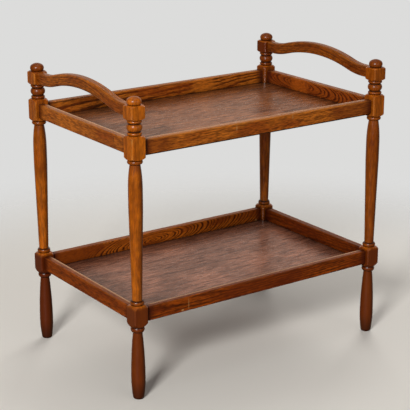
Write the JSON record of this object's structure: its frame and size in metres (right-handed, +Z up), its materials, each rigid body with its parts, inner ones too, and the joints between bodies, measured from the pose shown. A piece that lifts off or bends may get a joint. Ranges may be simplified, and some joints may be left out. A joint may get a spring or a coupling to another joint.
{
  "type": "bar cart",
  "caption": "Tiered stained-oak bar cart: turned posts, shallow railed trays and bowed end handles, standing on plain turned feet.",
  "frame": {"origin": "on the floor, under the middle of the four posts", "axes": "+X along the trays, +Y from front to back, +Z up"},
  "size_m": [0.7826, 0.5044, 0.7645],
  "materials": {
    "post_oak": "stained oak, satin varnish",
    "rail_oak": "stained oak, satin varnish",
    "handle_oak": "stained oak, satin varnish",
    "panel_veneer": "stained veneered board, worn satin",
    "dowel_beech": "bare turned beech",
    "screw_steel": "aged bright steel"
  },
  "bodies": {
    "root": {"post_front_left": "post_oak", "post_front_right": "post_oak", "post_back_left": "post_oak", "post_back_right": "post_oak", "lower_front_rail": "rail_oak", "lower_right_rail": "rail_oak", "lower_back_rail": "rail_oak", "lower_left_rail": "rail_oak", "upper_front_rail": "rail_oak", "upper_right_rail": "rail_oak", "upper_back_rail": "rail_oak", "upper_left_rail": "rail_oak", "left_handle": "handle_oak", "right_handle": "handle_oak", "lower_tray_panel": "panel_veneer", "upper_tray_panel": "panel_veneer", "lower_front_rail_dowels": "dowel_beech", "lower_right_rail_dowels": "dowel_beech", "lower_back_rail_dowels": "dowel_beech", "lower_left_rail_dowels": "dowel_beech", "upper_front_rail_dowels": "dowel_beech", "upper_right_rail_dowels": "dowel_beech", "upper_back_rail_dowels": "dowel_beech", "upper_left_rail_dowels": "dowel_beech", "left_handle_dowels": "dowel_beech", "right_handle_dowels": "dowel_beech", "lower_front_panel_screws": "screw_steel", "lower_right_panel_screws": "screw_steel", "lower_back_panel_screws": "screw_steel", "lower_left_panel_screws": "screw_steel", "upper_front_panel_screws": "screw_steel", "upper_right_panel_screws": "screw_steel", "upper_back_panel_screws": "screw_steel", "upper_left_panel_screws": "screw_steel"}
  },
  "joints": []
}
